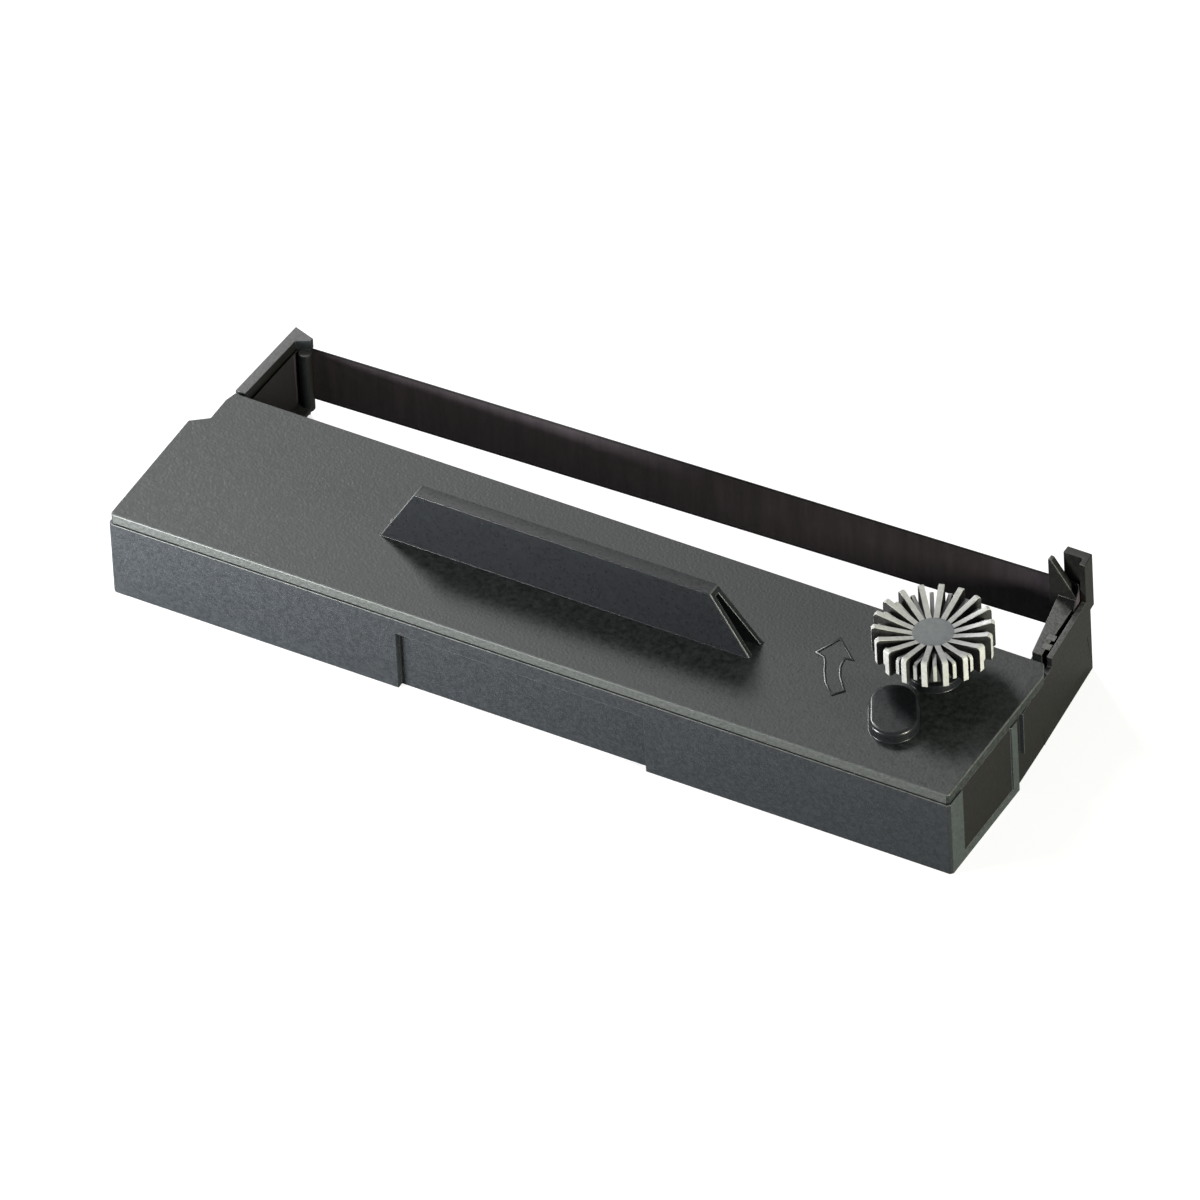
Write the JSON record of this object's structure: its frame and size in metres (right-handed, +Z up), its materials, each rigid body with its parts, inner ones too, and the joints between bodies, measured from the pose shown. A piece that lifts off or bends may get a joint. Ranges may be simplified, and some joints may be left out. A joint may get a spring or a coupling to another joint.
{
  "type": "printer ribbon cartridge",
  "caption": "Flat ribbon cartridge for a small impact printer: tray and clip-in cover with a finger grip, two arms that hold the inked ribbon across the print gap, and a finned advance knob",
  "frame": {"origin": "middle of the footprint, on the table the cartridge lies on", "axes": "+X along the tray from the shoulder end to the knob end, +Y from the flat front wall to the ribbon, +Z up out of the cover"},
  "size_m": [0.159, 0.0554, 0.0286],
  "materials": {
    "case_plastic": "fine grain, satin",
    "cover_plastic": "fine grain, satin",
    "knob_plastic": "smooth",
    "roller_plastic": "smooth",
    "bright_steel": "drawn",
    "inked_ribbon": "woven, inked",
    "felt": "pressed felt"
  },
  "bodies": {
    "cartridge": {"bottom_case": "case_plastic", "top_cover": "cover_plastic", "ribbon": "inked_ribbon", "ribbon_folds": "inked_ribbon", "tension_pad": "felt", "tension_spring": "bright_steel", "idler_spring": "bright_steel"},
    "drive": {"feed_roller": "roller_plastic", "advance_knob": "knob_plastic"},
    "carrier": {"idler_carrier": "roller_plastic", "idler_pin": "bright_steel"},
    "idler": {"idler_roller": "roller_plastic"}
  },
  "joints": [
    {"name": "drive_turn", "type": "hinge", "parent": "cartridge", "child": "drive", "pos_m": [0.0631, -0.0022, 0], "axis": [0, 0, 1], "continuous": true},
    {"name": "carrier_slide", "type": "slide", "parent": "cartridge", "child": "carrier", "axis": [0, -1, 0], "range_m": [0, 0.0012], "stiffness_N_per_m": 300, "deforming": ["idler_spring"]},
    {"name": "idler_turn", "type": "hinge", "parent": "carrier", "child": "idler", "pos_m": [0.0631, -0.01255, 0], "axis": [0, 0, 1], "continuous": true}
  ],
  "couplings": [
    {"joint": "idler_turn", "follows": "drive_turn", "ratio": -1}
  ]
}
